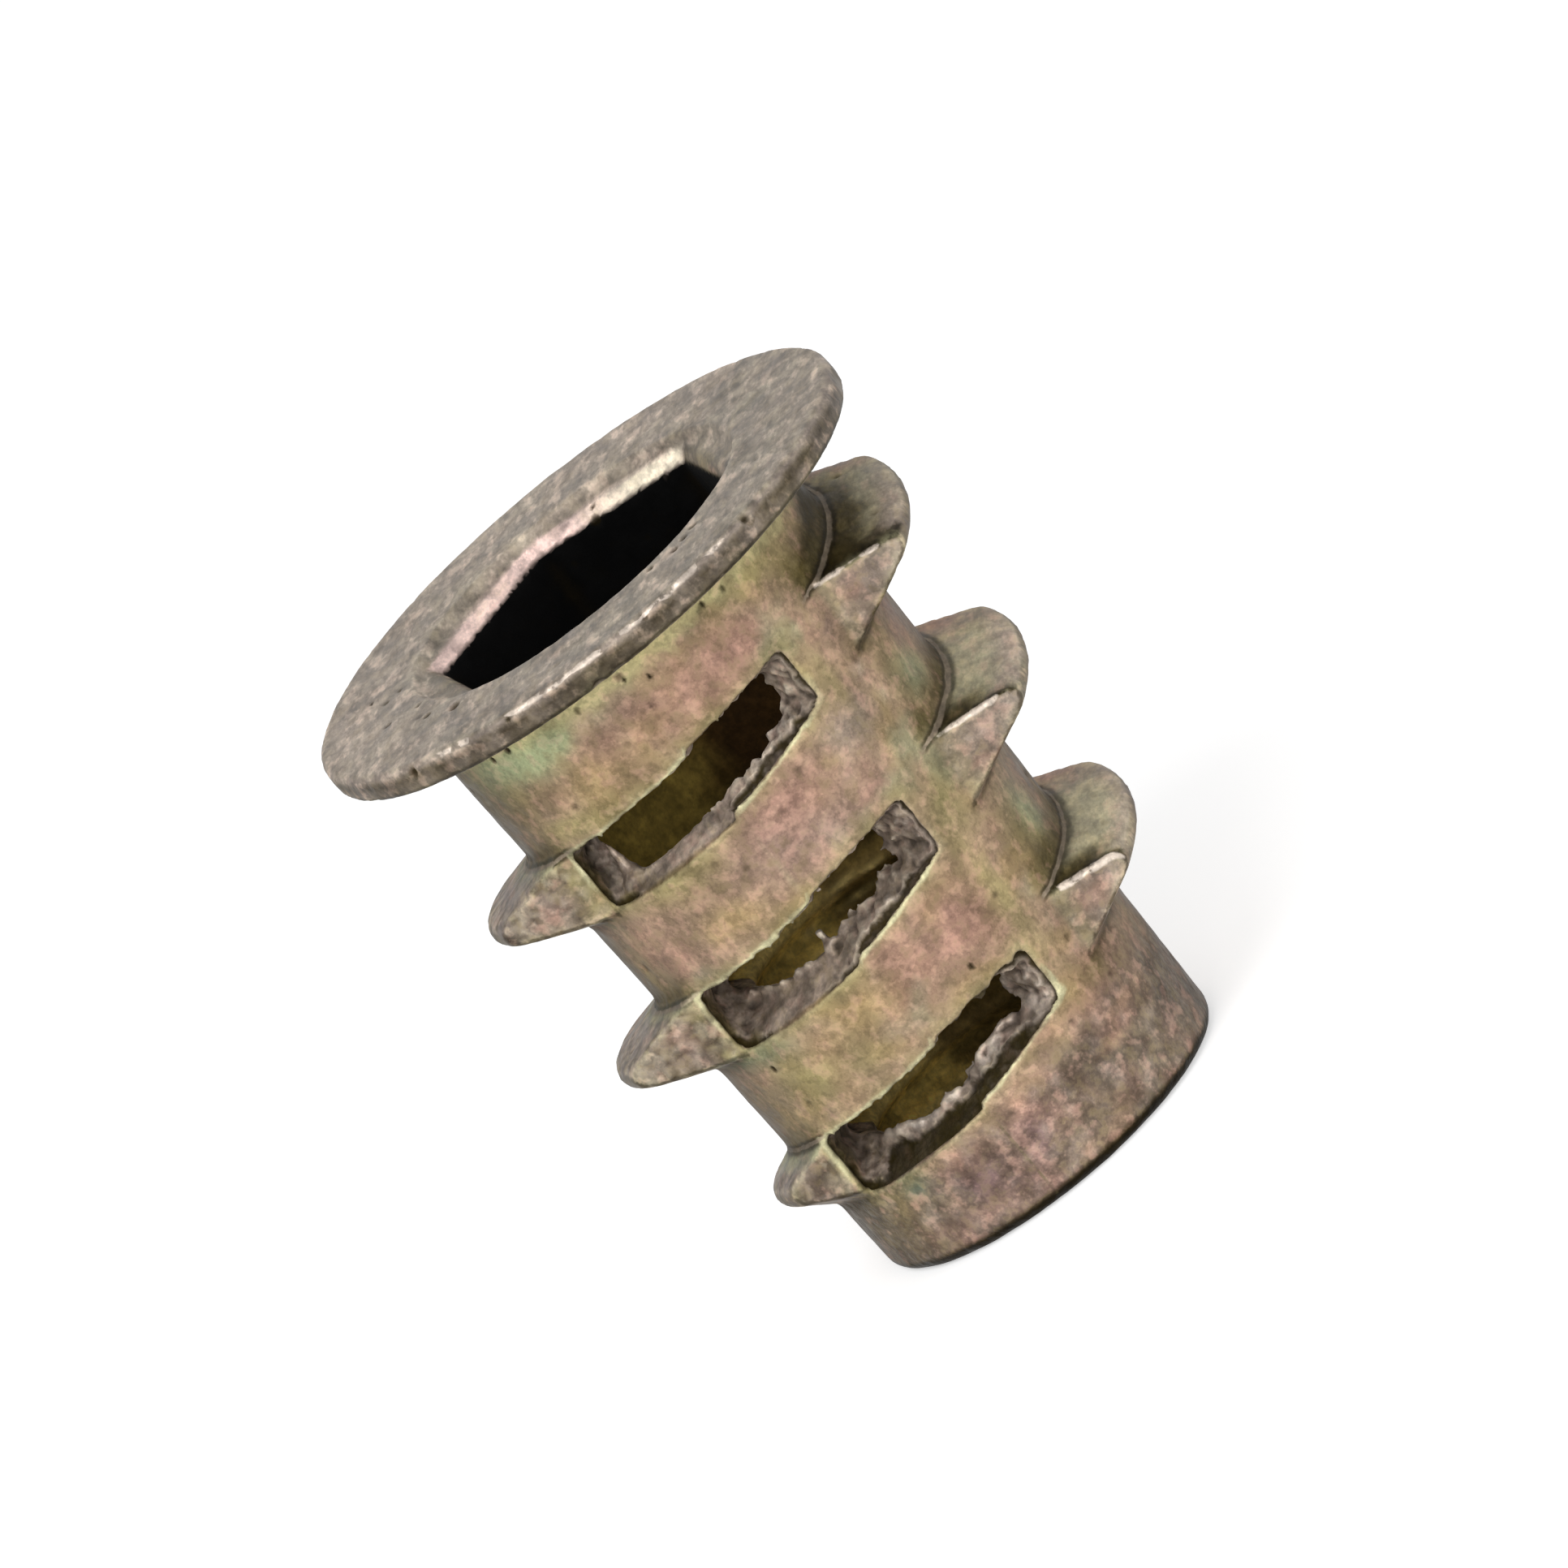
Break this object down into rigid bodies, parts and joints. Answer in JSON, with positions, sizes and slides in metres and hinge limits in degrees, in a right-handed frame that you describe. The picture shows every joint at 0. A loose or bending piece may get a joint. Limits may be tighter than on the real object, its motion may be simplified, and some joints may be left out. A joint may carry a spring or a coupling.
{
  "type": "threaded insert",
  "caption": "Cast screw-in insert for wood: thin flange, hex drive socket, tapped bore, tapered barrel, coarse interrupted outer thread with slots.",
  "frame": {"origin": "centre of the lead-in end's face, on the insert's axis, at the bottom of the bounding box", "axes": "+Z along the axis, from the lead-in end to the flange; -Y towards the side with the open windows; +X towards the first rib of the outer thread"},
  "size_m": [0.0166, 0.0166, 0.02],
  "materials": {
    "yellow_zinc_casting": "zinc die casting, yellow passivated, matt and slightly iridescent"
  },
  "bodies": {
    "root": {"threaded_insert": "yellow_zinc_casting"}
  },
  "joints": []
}
